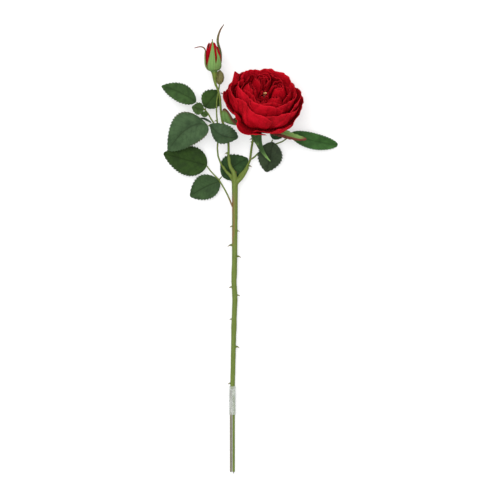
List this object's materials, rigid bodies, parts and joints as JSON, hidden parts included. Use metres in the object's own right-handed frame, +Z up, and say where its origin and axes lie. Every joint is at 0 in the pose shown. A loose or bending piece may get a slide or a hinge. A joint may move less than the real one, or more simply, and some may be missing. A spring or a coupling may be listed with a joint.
{
  "type": "crepe paper rose",
  "caption": "Artificial crepe paper rose on one thorned stem, with an open red bloom, a bud and serrated leaves, laid down flat.",
  "frame": {"origin": "middle of the underside of the laid rose, on the table", "axes": "+Y up the stem from the cut foot to the bud, +Z up off the table, towards the side that the picture shows, +X to the right in the picture"},
  "size_m": [0.2354, 0.599, 0.0907],
  "materials": {
    "petals": "matt",
    "leaves": "matt",
    "stem": "satin",
    "brown_skin": "satin",
    "calyx": "matt",
    "small_bud": "matt",
    "flower_core": "matt",
    "stamens": "matt",
    "wire": "dull",
    "tape": "clear gloss"
  },
  "bodies": {
    "root": {"cup_petal_1": "petals", "cup_petal_2": "petals", "cup_petal_3": "petals", "cup_petal_4": "petals", "cup_petal_5": "petals", "shoulder_petal_1": "petals", "shoulder_petal_2": "petals", "shoulder_petal_3": "petals", "shoulder_petal_4": "petals", "shoulder_petal_5": "petals", "guard_petal_1": "petals", "guard_petal_2": "petals", "guard_petal_3": "petals", "guard_petal_4": "petals", "guard_petal_5": "petals", "guard_petal_6": "petals", "heart_petal_1a": "petals", "heart_petal_1b": "petals", "heart_petal_1c": "petals", "heart_petal_2a": "petals", "heart_petal_2b": "petals", "heart_petal_3a": "petals", "heart_petal_4a": "petals", "heart_petal_4b": "petals", "heart_petal_4c": "petals", "heart_petal_5a": "petals", "receptacle": "flower_core", "stamen_button": "stamens", "main_stem": "stem", "bloom_branch": "stem", "bud_branch": "stem", "side_branch": "stem", "green_strand": "stem", "upper_rachis": "stem", "middle_rachis": "stem", "lower_rachis": "stem", "right_rachis": "stem", "brown_strand": "brown_skin", "core_wire": "wire", "clear_tape": "tape", "bloom_calyx": "calyx", "bud_calyx": "calyx", "small_bud": "small_bud", "bud_heart": "petals", "bud_petal_1": "petals", "bud_petal_2": "petals", "bud_petal_3": "petals", "upper_leaf_1": "leaves", "upper_leaf_2": "leaves", "upper_leaf_3": "leaves", "upper_leaf_4": "leaves", "middle_leaf_1": "leaves", "middle_leaf_2": "leaves", "middle_leaf_3": "leaves", "lower_leaf_1": "leaves", "lower_leaf_2": "leaves", "lower_leaf_3": "leaves", "right_leaf_1": "leaves", "right_leaf_2": "leaves", "right_leaf_3": "leaves"}
  },
  "joints": []
}
